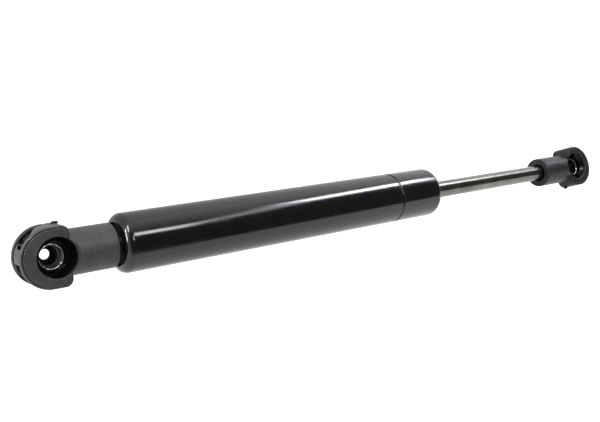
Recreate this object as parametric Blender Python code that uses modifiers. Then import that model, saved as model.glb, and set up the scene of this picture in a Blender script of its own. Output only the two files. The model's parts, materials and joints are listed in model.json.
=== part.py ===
"""Gas strut stay: a gas spring with a moulded ball socket on each end.

The strut lies along +X. The origin is the centre of the tube-end ball socket, the mouths of both
sockets face -Y (the rod-end one a little turned about X), and +Z is up. The rod is drawn out.
"""

import math

import bmesh
import bpy
from mathutils import Vector

MM = 0.001
GAP = 0.3 * MM                      # air left between pieces that touch on the real strut

# Driving sizes
TUBE_RADIUS = 14.0 * MM
TUBE_WALL = 1.5 * MM
ROD_RADIUS = 5.0 * MM
BALL_RADIUS = 5.0 * MM
BALL_CENTRES = 373.5 * MM           # between the two ball centres, rod drawn out
TUBE_START = 31.1 * MM
TUBE_END = 231.9 * MM
ROD_END_TURN = math.radians(14.4)   # how far the rod end has turned on the strut's axis

# Pressure tube
ROLL_RADIUS = 4.0 * MM              # outside radius of both rolled-over ends
ROD_LIP = 1.2 * MM                  # flat lip past the roll at the rod end
BEAD_X = 199.6 * MM
BEAD_HALF_WIDTH = 0.9 * MM
BEAD_DEPTH = 0.6 * MM
BORE_RADIUS = TUBE_RADIUS - TUBE_WALL
FIT_RADIUS = BORE_RADIUS - GAP      # everything that fits the bore
ROLL_MOUTH = TUBE_RADIUS - ROLL_RADIUS
ROLL_FIT = ROLL_RADIUS - TUBE_WALL - GAP   # corner radius that sits inside a roll

# Base plug and its stud
PLUG_INNER_X = 45.0 * MM
STUD_RADIUS = 4.0 * MM
STUD_END_X = 41.5 * MM
ORING_RADIUS = 0.75 * MM
ORING_GROOVE_RADIUS = 10.4 * MM
ORING_MAJOR = 11.45 * MM
PLUG_ORING_X = 39.8 * MM

# Rod guide pack, from the bead outwards
PACK_START = 201.3 * MM
SEAL_WASHER_THICKNESS = 2.0 * MM
SEAL_LENGTH = 6.0 * MM
GUIDE_LENGTH = 17.6 * MM
CAP_LENGTH = 2.3 * MM
BUSH_WALL = 1.0 * MM
WIPER_RADIUS = 7.7 * MM

# Piston pack on the rod's turned-down end
TENON_RADIUS = 3.5 * MM
ROD_SHOULDER_X = 201.25 * MM
STOP_WASHER_THICKNESS = 2.3 * MM
SUPPORT_WASHER_THICKNESS = 1.5 * MM
PISTON_LENGTH = 11.7 * MM
PISTON_RADIUS = 11.9 * MM
RING_GROOVE_RADIUS = 10.0 * MM
RING_LENGTH = 3.4 * MM
DISC_THICKNESS = 1.0 * MM
BACKING_THICKNESS = 1.5 * MM
NUT_LENGTH = 5.0 * MM
NUT_RADIUS = 6.6 * MM

# Ball socket head, in its own frame: ball centre at the origin, neck along +X, mouth to -Y
HEAD_RADIUS = 13.5 * MM
HEAD_CENTRE_X = -1.0 * MM           # centre of the head's round end
HEAD_SHOULDER_X = 7.6 * MM
HEAD_CORNER = 3.5 * MM
HEAD_FRONT_Y = -8.6 * MM
HEAD_BACK_Y = 4.7 * MM
HEAD_EDGE = 0.5 * MM
BOSS_RADIUS = 7.4 * MM
BOSS_Y = 5.9 * MM
MOUTH_RADIUS = 9.1 * MM
MOUTH_OFFSET = 1.3 * MM             # the mouth's cone stands this far from the ball, to the neck
RIM_RADIUS = 9.8 * MM
THROAT_Y = -3.9 * MM
CUP_BORE = BALL_RADIUS + 0.15 * MM
CUP_WALL = 0.6 * MM
CUP_LIP_Y = -3.7 * MM
CUP_HOLE_RADIUS = 2.3 * MM
BACK_HOLE_RADIUS = 2.55 * MM
BORE_END_X = 12.0 * MM
THREAD_BORE = STUD_RADIUS + GAP
TUBE_NECK = (10.4 * MM, 28.9 * MM)  # radius, and length from the ball centre
ROD_NECK = (9.4 * MM, 33.8 * MM)
ROD_COUNTERBORE = (5.6 * MM, 5.0 * MM)   # radius and depth

# Wire clip and the room it needs in the head
WIRE_RADIUS = 0.6 * MM
WIRE_ROOM = WIRE_RADIUS + GAP
CLIP_TRAVEL = 2.0 * MM
LEG_Y = -2.2 * MM
LEG_Z = 5.2 * MM
BOW_Y = 1.4 * MM
BOW_RADIUS = 12.3 * MM
LEG_START_X = -8.9 * MM
LEG_END_X = 3.6 * MM
TAIL_X = 4.1 * MM
FOOT_END_X = 6.1 * MM
FOOT_Z = 14.4 * MM
WINDOW_INNER = 9.0 * MM
WINDOW_FRONT_Y = -6.1 * MM
WINDOW_BACK_Y = 1.95 * MM
LAND_BACK_Y = -0.3 * MM             # a land parts the start of the lower window from the groove
UPPER_WINDOW = (104.0, 156.5)       # degrees from the neck's direction
LOWER_LAND = (185.0, 203.0)
LOWER_WINDOW = (202.0, 238.0)

STEPS = 40                          # round the pieces that show
SMALL_STEPS = 24                    # round the pieces inside
MERGE = 0.00001
SMOOTH_ANGLE = math.radians(32)
STEP = 0.05 * MM                     # keeps the faces of two cutters out of one plane


def clear_scene():
    for old in list(bpy.data.objects):
        bpy.data.objects.remove(old, do_unlink=True)


def new_collection(name):
    made = bpy.data.collections.new(name)
    bpy.context.scene.collection.children.link(made)
    return made


def new_material(name, colour, metallic, roughness):
    made = bpy.data.materials.new(name)
    made.use_nodes = True
    shader = made.node_tree.nodes["Principled BSDF"]
    shader.inputs["Base Color"].default_value = (*colour, 1.0)
    shader.inputs["Metallic"].default_value = metallic
    shader.inputs["Roughness"].default_value = roughness
    return made


clear_scene()
STRUT = new_collection("gas_strut_stay")
CUTTERS = new_collection("cutters")

BLACK_PAINT = new_material("black_paint", (0.010, 0.010, 0.011), 0.0, 0.18)
NYLON = new_material("black_nylon", (0.030, 0.032, 0.034), 0.0, 0.55)
NITRIDED = new_material("nitrided_steel", (0.17, 0.17, 0.165), 1.0, 0.24)
ZINC = new_material("zinc_plated_steel", (0.55, 0.55, 0.53), 1.0, 0.35)
CUP_STEEL = new_material("cup_steel", (0.32, 0.31, 0.29), 1.0, 0.30)
SPRING_STEEL = new_material("spring_steel", (0.20, 0.20, 0.21), 1.0, 0.35)
RUBBER = new_material("nitrile_rubber", (0.020, 0.020, 0.020), 0.0, 0.70)
BRONZE = new_material("bronze", (0.45, 0.27, 0.12), 1.0, 0.35)
ALUMINIUM = new_material("aluminium", (0.62, 0.62, 0.64), 1.0, 0.40)
ACETAL = new_material("white_acetal", (0.75, 0.75, 0.72), 0.0, 0.45)


def place(item, material=None, parent=None):
    """Puts a part in the strut's collection, or a cutter (no material) among the cutters."""
    item.parent = parent
    if material is None:
        CUTTERS.objects.link(item)
        item.hide_render = True
        item.display_type = "WIRE"
        return item
    STRUT.objects.link(item)
    item.data.materials.append(material)
    if item.type == "MESH":
        item.data.shade_smooth()
        item.data.set_sharp_from_angle(angle=SMOOTH_ANGLE)
    return item


def tool(item, parent=None):
    return place(item, parent=parent)


def turned(name, profile, closed, steps=STEPS, along="X", half_step=False):
    """A turned piece. Its profile is (distance along the axis, radius) pairs, and runs down the
    outside from the far end to the near end; a closed profile comes back through the bore.
    A cutter starts half a step round, so its edges cross those of a coaxial piece cleanly."""
    start = math.pi / steps if half_step else 0.0
    shape = bmesh.new()
    points = [
        shape.verts.new((radius * math.cos(start), radius * math.sin(start), far))
        for far, radius in profile
    ]
    for first, second in zip(points, points[1:]):
        shape.edges.new((first, second))
    if closed:
        shape.edges.new((points[-1], points[0]))
    mesh = bpy.data.meshes.new(name)
    shape.to_mesh(mesh)
    shape.free()
    item = bpy.data.objects.new(name, mesh)
    if along == "X":
        item.rotation_euler = (0.0, math.pi / 2, 0.0)
    else:
        item.rotation_euler = (-math.pi / 2, 0.0, 0.0)
    screw = item.modifiers.new("Turn", "SCREW")
    screw.axis = "Z"
    screw.angle = 2 * math.pi
    screw.steps = steps
    screw.render_steps = steps
    screw.use_merge_vertices = True
    screw.merge_threshold = MERGE
    screw.use_smooth_shade = True
    return item


def ring_profile(near, far, inner, outer, edge=0.0):
    """A plain ring, with its outer corners taken off by edge."""
    if edge == 0.0:
        return [(far, outer), (near, outer), (near, inner), (far, inner)]
    return [
        (far, outer - edge), (far - edge, outer), (near + edge, outer), (near, outer - edge),
        (near, inner), (far, inner),
    ]


def round_profile(centre, major, minor, sides=8):
    """A round section, for an O-ring."""
    turn = [2 * math.pi * i / sides for i in range(sides)]
    return [(centre + minor * math.cos(a), major + minor * math.sin(a)) for a in turn]


def arc(centre, radius, start, end, steps):
    """Points of an arc: centre and result are (along, across) pairs, angles are in degrees."""
    angles = [math.radians(start + (end - start) * i / steps) for i in range(steps + 1)]
    return [(centre[0] + radius * math.cos(a), centre[1] + radius * math.sin(a)) for a in angles]


def turned_part(name, profile, material, closed=True, steps=STEPS, parent=None, along="X"):
    return place(turned(name, profile, closed, steps, along), material, parent)


def plate(name, outline, y_low, y_high):
    """A flat plate across Y: its outline is (x, z) pairs, its faces are at y_low and y_high."""
    curve = bpy.data.curves.new(name, "CURVE")
    curve.dimensions = "2D"
    curve.fill_mode = "BOTH"
    curve.extrude = (y_high - y_low) / 2
    spline = curve.splines.new("POLY")
    spline.points.add(len(outline) - 1)
    for point, (x, z) in zip(spline.points, outline):
        point.co = (x, z, 0.0, 1.0)
    spline.use_cyclic_u = True
    drawn = bpy.data.objects.new(name + "_outline", curve)
    bpy.context.scene.collection.objects.link(drawn)
    mesh = bpy.data.meshes.new_from_object(
        drawn.evaluated_get(bpy.context.evaluated_depsgraph_get())
    )
    bpy.data.objects.remove(drawn, do_unlink=True)
    shape = bmesh.new()
    shape.from_mesh(mesh)
    bmesh.ops.remove_doubles(shape, verts=shape.verts, dist=MERGE)
    shape.to_mesh(mesh)
    shape.free()
    item = bpy.data.objects.new(name, mesh)
    item.location = (0.0, (y_low + y_high) / 2, 0.0)
    item.rotation_euler = (math.pi / 2, 0.0, 0.0)
    return item


def block(name, low, high):
    """A box cutter between two corners."""
    shape = bmesh.new()
    bmesh.ops.create_cube(shape, size=1.0)
    mesh = bpy.data.meshes.new(name)
    bmesh.ops.scale(shape, vec=Vector(high) - Vector(low), verts=shape.verts)
    bmesh.ops.translate(shape, vec=(Vector(high) + Vector(low)) / 2, verts=shape.verts)
    shape.to_mesh(mesh)
    shape.free()
    return bpy.data.objects.new(name, mesh)


def boolean(item, other, operation):
    step = item.modifiers.new(other.name, "BOOLEAN")
    step.operation = operation
    step.solver = "EXACT"
    step.object = other


def wire(name, points, radius, parent):
    curve = bpy.data.curves.new(name, "CURVE")
    curve.dimensions = "3D"
    curve.bevel_depth = radius
    curve.bevel_resolution = 2
    curve.use_fill_caps = True
    spline = curve.splines.new("POLY")
    spline.points.add(len(points) - 1)
    for point, place_at in zip(spline.points, points):
        point.co = (*place_at, 1.0)
    return place(bpy.data.objects.new(name, curve), SPRING_STEEL, parent)


def empty(name, location, rotation=(0.0, 0.0, 0.0)):
    made = bpy.data.objects.new(name, None)
    made.location = location
    made.rotation_euler = rotation
    STRUT.objects.link(made)
    return made


# ---------------------------------------------------------------- pressure tube and its ends

def pressure_tube():
    rod_roll = (TUBE_END - ROLL_RADIUS, ROLL_MOUTH)
    base_roll = (TUBE_START + ROLL_RADIUS, ROLL_MOUTH)
    inner_roll = ROLL_RADIUS - TUBE_WALL
    lip = ROLL_MOUTH - ROD_LIP
    bead = [(1.0, 0.0), (0.5, 0.75), (0.0, 1.0), (-0.5, 0.75), (-1.0, 0.0)]
    outside = [(TUBE_END, lip)] + arc(rod_roll, ROLL_RADIUS, 0, 90, 5)
    outside += [(BEAD_X + w * BEAD_HALF_WIDTH, TUBE_RADIUS - d * BEAD_DEPTH) for w, d in bead]
    outside += arc(base_roll, ROLL_RADIUS, 90, 180, 5)
    inside = arc(base_roll, inner_roll, 180, 90, 4)
    inside += [
        (BEAD_X - w * (BEAD_HALF_WIDTH + TUBE_WALL / 3), BORE_RADIUS - d * BEAD_DEPTH)
        for w, d in bead
    ]
    inside += arc(rod_roll, inner_roll, 90, 0, 4) + [(TUBE_END - TUBE_WALL, lip)]
    turned_part("pressure_tube", outside + inside, BLACK_PAINT)


def oring_groove(centre):
    """The groove of an O-ring, far side to near side, on a piece that fits the bore."""
    half = ORING_RADIUS + GAP
    return [
        (centre + half, FIT_RADIUS), (centre + half, ORING_GROOVE_RADIUS),
        (centre - half, ORING_GROOVE_RADIUS), (centre - half, FIT_RADIUS),
    ]


def base_end():
    corner = (TUBE_START + ROLL_RADIUS, ROLL_MOUTH)
    face = corner[0] - ROLL_FIT
    profile = [(PLUG_INNER_X, 0.0), (PLUG_INNER_X, FIT_RADIUS)] + oring_groove(PLUG_ORING_X)
    profile += arc(corner, ROLL_FIT, 90, 180, 4)
    profile += [(face, THREAD_BORE), (STUD_END_X + GAP, THREAD_BORE), (STUD_END_X + GAP, 0.0)]
    turned_part("base_plug", profile, BLACK_PAINT, closed=False, steps=SMALL_STEPS)
    turned_part(
        "base_plug_seal", round_profile(PLUG_ORING_X, ORING_MAJOR, ORING_RADIUS), RUBBER,
        steps=SMALL_STEPS,
    )
    chamfer = STUD_RADIUS - 0.6 * MM
    stud_start = BORE_END_X + 1.0 * MM
    profile = [
        (STUD_END_X, 0.0), (STUD_END_X, chamfer), (STUD_END_X - 0.6 * MM, STUD_RADIUS),
        (stud_start + 0.6 * MM, STUD_RADIUS), (stud_start, chamfer), (stud_start, 0.0),
    ]
    turned_part("tube_end_stud", profile, ZINC, closed=False, steps=SMALL_STEPS)


def guide_pack():
    rod_clear = ROD_RADIUS + GAP
    washer_end = PACK_START + SEAL_WASHER_THICKNESS
    turned_part(
        "seal_support_washer",
        ring_profile(PACK_START, washer_end, ROD_RADIUS + 0.4 * MM, FIT_RADIUS, 0.3 * MM), ZINC,
        steps=SMALL_STEPS,
    )

    seal = washer_end + GAP
    seal_end = seal + SEAL_LENGTH
    lip = 1.6 * MM                                  # how deep the groove behind each lip goes
    profile = [
        (seal_end, FIT_RADIUS), (seal + 0.5 * MM, FIT_RADIUS), (seal, FIT_RADIUS - 0.5 * MM),
        (seal, 9.0 * MM), (seal + lip, 8.2 * MM), (seal + lip, 7.4 * MM), (seal, 6.6 * MM),
        (seal, rod_clear + 0.3 * MM), (seal + 0.6 * MM, rod_clear), (seal + 2 * lip, rod_clear),
        (seal + 2.5 * lip, rod_clear + 0.7 * MM), (seal_end - 1.0 * MM, rod_clear),
        (seal_end, rod_clear),
    ]
    turned_part("rod_seal", profile, RUBBER, steps=SMALL_STEPS)

    guide = seal_end + GAP
    guide_end = guide + GUIDE_LENGTH
    bush_seat = rod_clear + BUSH_WALL + GAP
    bush = (guide + 2.0 * MM, guide_end - 2.0 * MM)
    middle = (guide + guide_end) / 2
    profile = [(guide_end, FIT_RADIUS)] + oring_groove(middle) + [
        (guide, FIT_RADIUS), (guide, rod_clear + 0.2 * MM), (bush[0] - GAP, rod_clear + 0.2 * MM),
        (bush[0] - GAP, bush_seat), (guide_end, bush_seat),
    ]
    turned_part("rod_guide", profile, ACETAL, steps=SMALL_STEPS)
    turned_part(
        "guide_seal", round_profile(middle, ORING_MAJOR, ORING_RADIUS), RUBBER, steps=SMALL_STEPS,
    )
    turned_part(
        "guide_bush", ring_profile(*bush, rod_clear, rod_clear + BUSH_WALL), BRONZE,
        steps=SMALL_STEPS,
    )

    cap = guide_end + GAP
    cap_end = cap + CAP_LENGTH
    wiper_seat = WIPER_RADIUS + GAP
    floor = cap + 0.6 * MM
    profile = arc((TUBE_END - ROLL_RADIUS, ROLL_MOUTH), ROLL_FIT, 0, 90, 4)
    profile += [
        (cap, FIT_RADIUS), (cap, rod_clear + 0.3 * MM), (floor, rod_clear + 0.3 * MM),
        (floor, wiper_seat), (cap_end, wiper_seat),
    ]
    profile[0] = (cap_end, ROLL_MOUTH)
    turned_part("guide_cap", profile, ZINC, steps=SMALL_STEPS)
    wiper = floor + GAP
    profile = [
        (wiper + 1.3 * MM, rod_clear + 0.2 * MM), (wiper + 0.9 * MM, WIPER_RADIUS),
        (wiper, WIPER_RADIUS), (wiper, rod_clear),
    ]
    turned_part("rod_wiper", profile, RUBBER, steps=SMALL_STEPS)


# ---------------------------------------------------------------- rod and piston pack

def piston_rod():
    thread_start = BALL_CENTRES - ROD_NECK[1] + ROD_COUNTERBORE[1] - GAP
    thread_end = BALL_CENTRES - BORE_END_X - 0.7 * MM
    tenon_end = (
        ROD_SHOULDER_X - STOP_WASHER_THICKNESS - SUPPORT_WASHER_THICKNESS - PISTON_LENGTH
        - DISC_THICKNESS - BACKING_THICKNESS - NUT_LENGTH - 7 * GAP - 1.0 * MM
    )
    profile = [
        (thread_end, 0.0), (thread_end, STUD_RADIUS - 0.6 * MM),
        (thread_end - 0.6 * MM, STUD_RADIUS), (thread_start, STUD_RADIUS),
        (thread_start, ROD_RADIUS - 0.4 * MM), (thread_start - 0.4 * MM, ROD_RADIUS),
        (ROD_SHOULDER_X, ROD_RADIUS), (ROD_SHOULDER_X, TENON_RADIUS),
        (tenon_end + 0.4 * MM, TENON_RADIUS), (tenon_end, TENON_RADIUS - 0.4 * MM),
        (tenon_end, 0.0),
    ]
    turned_part("piston_rod", profile, NITRIDED, closed=False, steps=SMALL_STEPS)


def piston_pack():
    bore = TENON_RADIUS + GAP
    far = ROD_SHOULDER_X - GAP
    near = far - STOP_WASHER_THICKNESS
    turned_part(
        "extension_stop_washer", ring_profile(near, far, bore, 9.0 * MM, 0.4 * MM), ZINC,
        steps=SMALL_STEPS,
    )
    far = near - GAP
    near = far - SUPPORT_WASHER_THICKNESS
    turned_part(
        "piston_support_washer", ring_profile(near, far, bore, 10.5 * MM, 0.3 * MM), ZINC,
        steps=SMALL_STEPS,
    )
    far = near - GAP
    near = far - PISTON_LENGTH
    groove_far = (near + far) / 2 + RING_LENGTH / 2 + GAP
    groove_near = groove_far - RING_LENGTH - 2 * GAP
    profile = [
        (far, PISTON_RADIUS - 0.5 * MM), (far - 0.5 * MM, PISTON_RADIUS),
        (groove_far, PISTON_RADIUS), (groove_far, RING_GROOVE_RADIUS),
        (groove_near, RING_GROOVE_RADIUS), (groove_near, PISTON_RADIUS),
        (near + 0.5 * MM, PISTON_RADIUS), (near, PISTON_RADIUS - 0.5 * MM),
        (near, bore), (far, bore),
    ]
    turned_part("piston", profile, ALUMINIUM, steps=SMALL_STEPS)
    turned_part(
        "piston_ring",
        ring_profile(
            groove_near + GAP, groove_far - GAP, RING_GROOVE_RADIUS + GAP, FIT_RADIUS, 0.3 * MM
        ),
        ACETAL, steps=SMALL_STEPS,
    )
    far = near - GAP
    near = far - DISC_THICKNESS
    turned_part(
        "metering_disc", ring_profile(near, far, bore, 10.5 * MM), BRONZE, steps=SMALL_STEPS,
    )
    far = near - GAP
    near = far - BACKING_THICKNESS
    turned_part(
        "disc_backing_washer", ring_profile(near, far, bore, 9.0 * MM, 0.3 * MM), ZINC,
        steps=SMALL_STEPS,
    )
    far = near - GAP
    near = far - NUT_LENGTH
    piston_nut(near, far, bore)


def piston_nut(near, far, bore):
    """A hexagon nut: six flats round a round bore."""
    nut = turned("piston_nut", [(far, 0.0), (far, NUT_RADIUS), (near, NUT_RADIUS), (near, 0.0)],
                 False, steps=6)
    place(nut, ZINC)
    past = 1.0 * MM
    hole = turned(
        "piston_nut_bore", [(far + past, 0.0), (far + past, bore), (near - past, bore),
                            (near - past, 0.0)], False, steps=SMALL_STEPS, half_step=True,
    )
    boolean(nut, tool(hole), "DIFFERENCE")


# ---------------------------------------------------------------- ball socket fittings

def head_outline():
    """The head seen along Y: a round free end, straight sides and rounded shoulders."""
    corner_x = HEAD_SHOULDER_X - HEAD_CORNER
    corner_z = HEAD_RADIUS - HEAD_CORNER
    outline = arc((HEAD_CENTRE_X, 0.0), HEAD_RADIUS, 90, 270, 26)
    outline += arc((corner_x, -corner_z), HEAD_CORNER, 270, 360, 5)
    outline += arc((corner_x, corner_z), HEAD_CORNER, 0, 90, 5)
    return outline


def sector(inner, outer, start, end, steps):
    """Outline of a slice of ring round the head's round end."""
    centre = (HEAD_CENTRE_X, 0.0)
    return arc(centre, outer, start, end, steps) + arc(centre, inner, end, start, steps)


def mouth_cutters(name, parent):
    """Everything bored from the mouth: the cup's seat and its hole, then the cone and spot face."""
    seat = CUP_BORE + CUP_WALL + GAP
    hole_angle = math.degrees(math.asin(BACK_HOLE_RADIUS / seat))
    clear_y = 4.0 * MM
    spot_y = HEAD_FRONT_Y - STEP
    flare = (MOUTH_RADIUS - seat) / (THROAT_Y - HEAD_FRONT_Y)
    profile = [(BOSS_Y + clear_y, 0.0), (BOSS_Y + clear_y, BACK_HOLE_RADIUS)]
    profile += arc((0.0, 0.0), seat, hole_angle, 90, 5)
    profile += [(HEAD_FRONT_Y - clear_y, seat), (HEAD_FRONT_Y - clear_y, 0.0)]
    bore = turned(name + "_bore", profile, False, STEPS, along="Y", half_step=True)
    profile = [
        (THROAT_Y, 0.0), (THROAT_Y, seat), (spot_y, MOUTH_RADIUS + flare * STEP),
        (spot_y, RIM_RADIUS), (HEAD_FRONT_Y - clear_y, RIM_RADIUS), (HEAD_FRONT_Y - clear_y, 0.0),
    ]
    cone = turned(name + "_cone", profile, False, STEPS, along="Y", half_step=True)
    cone.location.x = MOUTH_OFFSET
    return [tool(bore, parent), tool(cone, parent)]


def head(name, parent):
    """The head's plain block, with its edges rounded over."""
    body = plate(name, head_outline(), HEAD_FRONT_Y, HEAD_BACK_Y)
    edge = body.modifiers.new("Edge", "BEVEL")
    edge.width = HEAD_EDGE
    edge.segments = 2
    edge.limit_method = "ANGLE"
    edge.angle_limit = math.radians(60)
    return place(body, NYLON, parent)


def neck(name, radius, length, counterbore, parent):
    """The round neck, bored for the thread, its back sloped down to the head."""
    edge = 0.5 * MM
    start = 2.0 * MM
    profile = [(BORE_END_X, 0.0), (BORE_END_X, THREAD_BORE)]
    if counterbore:
        wide, deep = counterbore
        profile += [(length - deep, THREAD_BORE), (length - deep, wide), (length, wide)]
    else:
        profile += [(length, THREAD_BORE)]
    profile += [(length, radius - edge), (length - edge, radius), (start, radius), (start, 0.0)]
    solid = tool(turned(name + "_neck", profile, False), parent)
    slope = block(name + "_slope", (-40.0 * MM, 0.0, -20.0 * MM), (40.0 * MM, 20.0 * MM, 20.0 * MM))
    slope.rotation_euler = (0.0, 0.0, math.radians(45))
    slope.location = (HEAD_SHOULDER_X - 2.6 * MM, HEAD_BACK_Y, 0.0)
    boolean(solid, tool(slope, parent), "DIFFERENCE")
    return solid


def clip_room(name, parent):
    """Cutters for the wire clip: the groove round the free end, two windows, two leg channels,
    and the slot in the top that the tail stands in."""
    outside = HEAD_RADIUS + 3.0 * MM
    groove = plate(
        name + "_groove", sector(BOW_RADIUS - WIRE_ROOM, outside, 89, 271, 25),
        BOW_Y - WIRE_ROOM, BOW_Y + WIRE_ROOM,
    )
    rooms = [groove]
    for part, span, back in (
        ("upper_window", UPPER_WINDOW, WINDOW_BACK_Y),
        ("lower_land", LOWER_LAND, LAND_BACK_Y),
        ("lower_window", LOWER_WINDOW, WINDOW_BACK_Y),
    ):
        cut = plate(f"{name}_{part}", sector(WINDOW_INNER, outside, *span, 8), WINDOW_FRONT_Y, back)
        rooms.append(cut)
    for side, centre in (("upper", LEG_Z), ("lower", -LEG_Z)):
        low = (LEG_START_X - 1.0 * MM, LEG_Y - WIRE_ROOM, centre - WIRE_ROOM)
        high = (TAIL_X + WIRE_ROOM, LEG_Y + WIRE_ROOM, centre + WIRE_ROOM)
        rooms.append(block(name + "_channel_" + side, low, high))
    low_x = TAIL_X - CLIP_TRAVEL - WIRE_ROOM
    high_x = TAIL_X + WIRE_ROOM
    slot_low_z = LEG_Z + 2.0 * MM
    rooms.append(
        block(
            name + "_tail_slot",
            (low_x, BOW_Y - WIRE_ROOM, slot_low_z),
            (high_x + STEP, BOW_Y + WIRE_ROOM, HEAD_RADIUS + 2.0 * MM),
        )
    )
    rooms.append(
        block(
            name + "_tail_pocket",
            (low_x - STEP, LEG_Y - WIRE_ROOM - STEP, LEG_Z - WIRE_ROOM - STEP),
            (high_x + 2 * STEP, BOW_Y + WIRE_ROOM - STEP, LEG_Z + 5.0 * MM),
        )
    )
    return [tool(room, parent) for room in rooms]


def ball_socket(name, neck_size, counterbore, parent):
    """A moulded nylon ball socket: head, neck, mouth, thread bore and the clip's room."""
    radius, length = neck_size
    body = head(name, parent)
    boolean(body, neck(name, radius, length, counterbore, parent), "UNION")
    boss = turned(
        name + "_boss",
        [(BOSS_Y, 0.0), (BOSS_Y, BOSS_RADIUS - 0.6 * MM), (BOSS_Y - 0.6 * MM, BOSS_RADIUS),
         (HEAD_BACK_Y - 2.0 * MM, BOSS_RADIUS), (HEAD_BACK_Y - 2.0 * MM, 0.0)],
        False, STEPS, along="Y",
    )
    boolean(body, tool(boss, parent), "UNION")
    for room in clip_room(name, parent):
        boolean(body, room, "DIFFERENCE")
    for cutter in mouth_cutters(name + "_mouth", parent):
        boolean(body, cutter, "DIFFERENCE")


def ball_cup(name, parent):
    """A pressed steel cup: straight wall, round bottom with a hole, slots for the clip's legs."""
    outer = CUP_BORE + CUP_WALL
    hole_outer = math.degrees(math.asin(CUP_HOLE_RADIUS / outer))
    hole_inner = math.degrees(math.asin(CUP_HOLE_RADIUS / CUP_BORE))
    profile = arc((0.0, 0.0), outer, hole_outer, 90, 5) + [(CUP_LIP_Y, outer), (CUP_LIP_Y, CUP_BORE)]
    profile += arc((0.0, 0.0), CUP_BORE, 90, hole_inner, 5)
    cup = turned_part(name, profile, CUP_STEEL, steps=SMALL_STEPS, parent=parent, along="Y")
    for side, centre in (("upper", LEG_Z), ("lower", -LEG_Z)):
        reach = 4.6 * MM
        slot = block(
            name + "_slot_" + side,
            (-reach, LEG_Y - WIRE_ROOM, centre - WIRE_ROOM - 0.05 * MM),
            (reach, LEG_Y + WIRE_ROOM, centre + WIRE_ROOM),
        )
        boolean(cup, tool(slot, parent), "DIFFERENCE")


def clip_route():
    """The wire clip from its foot on top of the head, round the bow, to the lower leg's tip."""
    turn_in = 148.0
    bow = [
        (x, BOW_Y, z)
        for x, z in arc((HEAD_CENTRE_X, 0.0), BOW_RADIUS, turn_in, 360 - turn_in, 12)
    ]
    bend = 0.6 * MM
    upper = [
        (FOOT_END_X, BOW_Y, FOOT_Z),
        (TAIL_X + 2 * bend, BOW_Y, FOOT_Z),
        (TAIL_X + 0.5 * bend, BOW_Y, FOOT_Z - 0.5 * bend),
        (TAIL_X, BOW_Y, FOOT_Z - 2 * bend),
        (TAIL_X, BOW_Y, LEG_Z + 4.4 * MM),
        (TAIL_X, BOW_Y - 0.8 * MM, LEG_Z + 2.9 * MM),
        (TAIL_X, LEG_Y + 0.3 * MM, LEG_Z + bend),
        (TAIL_X - bend, LEG_Y, LEG_Z),
        (LEG_START_X + 1.2 * MM, LEG_Y, LEG_Z),
        (LEG_START_X + 0.4 * MM, LEG_Y + 0.3 * MM, LEG_Z + 0.1 * MM),
    ]
    lower = [(x, y, -z) for x, y, z in reversed(upper[8:])]
    tip = [(LEG_END_X, LEG_Y, -LEG_Z)]
    return upper + bow + lower + tip


def fitting(end, neck_size, counterbore, parent):
    ball_socket(end + "_socket", neck_size, counterbore, parent)
    ball_cup(end + "_ball_cup", parent)
    wire(end + "_clip", clip_route(), WIRE_RADIUS, parent)


pressure_tube()
base_end()
guide_pack()
piston_rod()
piston_pack()
fitting("tube_end", TUBE_NECK, None, empty("tube_end_ball_centre", (0.0, 0.0, 0.0)))
fitting(
    "rod_end", ROD_NECK, ROD_COUNTERBORE,
    empty("rod_end_ball_centre", (BALL_CENTRES, 0.0, 0.0), (ROD_END_TURN, math.pi, 0.0)),
)
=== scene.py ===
"""The gas strut's looks: finished pieces and their materials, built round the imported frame."""

import json
import math

import bpy
from mathutils import Euler, Matrix, Vector


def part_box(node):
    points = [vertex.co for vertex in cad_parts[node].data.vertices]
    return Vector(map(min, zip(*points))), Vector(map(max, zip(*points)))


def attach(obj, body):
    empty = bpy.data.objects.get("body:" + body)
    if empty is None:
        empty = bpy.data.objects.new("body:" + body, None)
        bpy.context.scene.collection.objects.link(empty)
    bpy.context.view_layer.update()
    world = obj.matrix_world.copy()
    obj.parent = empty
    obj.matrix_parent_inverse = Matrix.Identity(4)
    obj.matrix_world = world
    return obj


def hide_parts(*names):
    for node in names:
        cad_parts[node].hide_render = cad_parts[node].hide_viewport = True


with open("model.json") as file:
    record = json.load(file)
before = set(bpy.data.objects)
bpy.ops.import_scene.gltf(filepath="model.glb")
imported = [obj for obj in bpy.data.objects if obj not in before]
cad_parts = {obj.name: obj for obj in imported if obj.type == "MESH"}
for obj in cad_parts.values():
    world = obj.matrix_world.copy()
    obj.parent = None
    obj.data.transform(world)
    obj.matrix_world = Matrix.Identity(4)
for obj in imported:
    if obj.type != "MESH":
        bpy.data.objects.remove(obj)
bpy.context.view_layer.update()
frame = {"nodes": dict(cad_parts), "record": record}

MM = 0.001
NODES = frame["nodes"]
MOUNTS = {mount["name"]: mount for mount in frame["record"]["mounts"]}

# The frame's own places
TUBE_LOW, TUBE_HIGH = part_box("pressure_tube")
TUBE_START, TUBE_END, TUBE_RADIUS = TUBE_LOW.x, TUBE_HIGH.x, TUBE_HIGH.z
ROD_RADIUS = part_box("piston_rod")[1].z
ROD_BALL = Vector(MOUNTS["rod_end_ball"]["pos_m"])
ROD_MOUTH = Vector(MOUNTS["rod_end_ball"]["axis"])
ROD_TURN = math.atan2(ROD_MOUTH.z, -ROD_MOUTH.y)

# Where each fitting stands: its own axes are ball centre, neck along +X, mouth to -Y
TUBE_FITTING = Matrix.Identity(4)
ROD_FITTING = Matrix.Translation(ROD_BALL) @ Euler((ROD_TURN, math.pi, 0.0)).to_matrix().to_4x4()

GAP = 0.3 * MM                    # air left between pieces that touch on the real strut

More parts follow.
